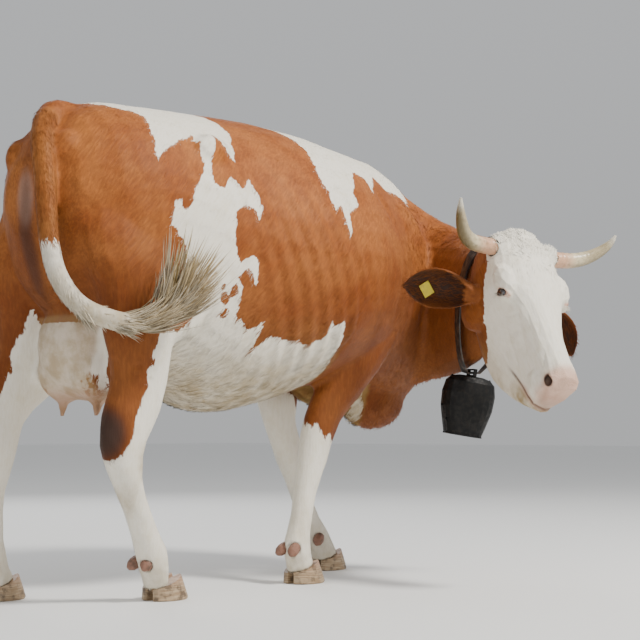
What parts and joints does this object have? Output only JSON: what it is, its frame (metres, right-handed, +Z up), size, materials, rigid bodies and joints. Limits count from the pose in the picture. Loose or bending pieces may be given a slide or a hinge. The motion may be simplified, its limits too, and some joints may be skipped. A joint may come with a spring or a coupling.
{
  "type": "dairy cow, life-size still model",
  "caption": "Life-size still model of a horned red and white dairy cow in a slow stride, head turned back, with a sheet-metal bell on a collar and an ear tag.",
  "frame": {"origin": "middle of the whole box on the floor that the soles stand on", "axes": "+X is the way the trunk faces, +Y is the cow's left, +Z is up"},
  "size_m": [1.8236, 1.3582, 1.4608],
  "materials": {
    "coat": "short flat hair, red with white patches",
    "udder_skin": "bare skin with sparse fine hair",
    "tail_hair": "long coarse hair",
    "horn": "polished keratin with growth rings",
    "eye": "wet",
    "claw": "dull keratin",
    "collar_leather": "worn smooth",
    "bell_iron": "blackened sheet iron",
    "tag_plastic": "moulded, bare"
  },
  "bodies": {
    "root": {"torso": "coat", "head": "coat", "neck": "coat", "udder": "udder_skin", "ear_right": "coat", "ear_left": "coat", "leg_front_right": "coat", "leg_front_left": "coat", "leg_hind_right": "coat", "leg_hind_left": "coat", "tail_upper": "coat", "tail_middle": "coat", "tail_lower": "tail_hair", "tail_switch": "tail_hair", "horn_right": "horn", "horn_left": "horn", "eye_right": "eye", "eye_left": "eye", "claw_front_right_right": "claw", "dewclaw_front_right_right": "claw", "claw_front_right_left": "claw", "dewclaw_front_right_left": "claw", "claw_front_left_right": "claw", "dewclaw_front_left_right": "claw", "claw_front_left_left": "claw", "dewclaw_front_left_left": "claw", "claw_hind_right_right": "claw", "dewclaw_hind_right_right": "claw", "claw_hind_right_left": "claw", "dewclaw_hind_right_left": "claw", "claw_hind_left_right": "claw", "dewclaw_hind_left_right": "claw", "claw_hind_left_left": "claw", "dewclaw_hind_left_left": "claw", "collar": "collar_leather", "bell": "bell_iron", "bell_clapper": "bell_iron", "bell_staple": "bell_iron", "ear_tag": "tag_plastic"}
  },
  "joints": []
}
